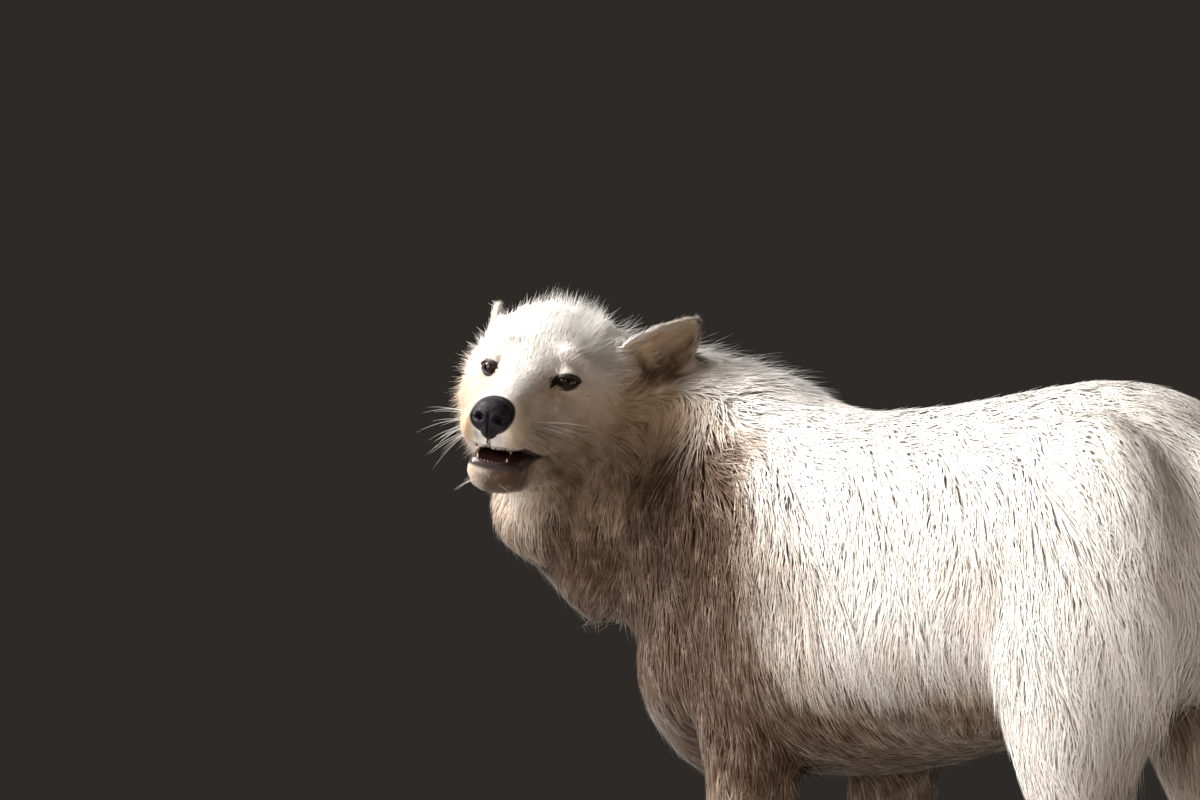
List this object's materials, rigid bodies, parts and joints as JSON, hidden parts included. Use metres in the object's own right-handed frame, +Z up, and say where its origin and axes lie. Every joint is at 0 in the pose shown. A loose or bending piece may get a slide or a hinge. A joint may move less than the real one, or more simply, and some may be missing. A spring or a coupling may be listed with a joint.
{
  "type": "arctic wolf",
  "caption": "Life-size white arctic wolf standing with its head turned back over its left shoulder, mouth slightly open and tail hanging.",
  "frame": {"origin": "on the floor under the middle of the wolf's box", "axes": "+Z up, -Y the way the body faces, +X the wolf's left; the body lies along Y"},
  "size_m": [0.4691, 1.0938, 0.8626],
  "materials": {
    "coat": "long creamy white fur, warm buff in its depth",
    "nose": "moist black pebbled skin",
    "eye": "wet dark amber-brown eye",
    "claw": "dull dark horn",
    "tooth": "smooth ivory tooth",
    "mouth": "moist dark lip and pinkish brown mouth lining"
  },
  "bodies": {
    "root": {"head": "coat", "jaw": "coat", "nose": "nose", "eye_left": "eye", "eye_right": "eye", "ear_left": "coat", "ear_right": "coat", "neck": "coat", "trunk": "coat", "tail": "coat", "foreleg_left": "coat", "foreleg_right": "coat", "hindleg_left": "coat", "hindleg_right": "coat", "claw_fore_left_1": "claw", "claw_fore_left_2": "claw", "claw_fore_left_3": "claw", "claw_fore_left_4": "claw", "claw_fore_right_1": "claw", "claw_fore_right_2": "claw", "claw_fore_right_3": "claw", "claw_fore_right_4": "claw", "claw_hind_left_1": "claw", "claw_hind_left_2": "claw", "claw_hind_left_3": "claw", "claw_hind_left_4": "claw", "claw_hind_right_1": "claw", "claw_hind_right_2": "claw", "claw_hind_right_3": "claw", "claw_hind_right_4": "claw"}
  },
  "joints": []
}
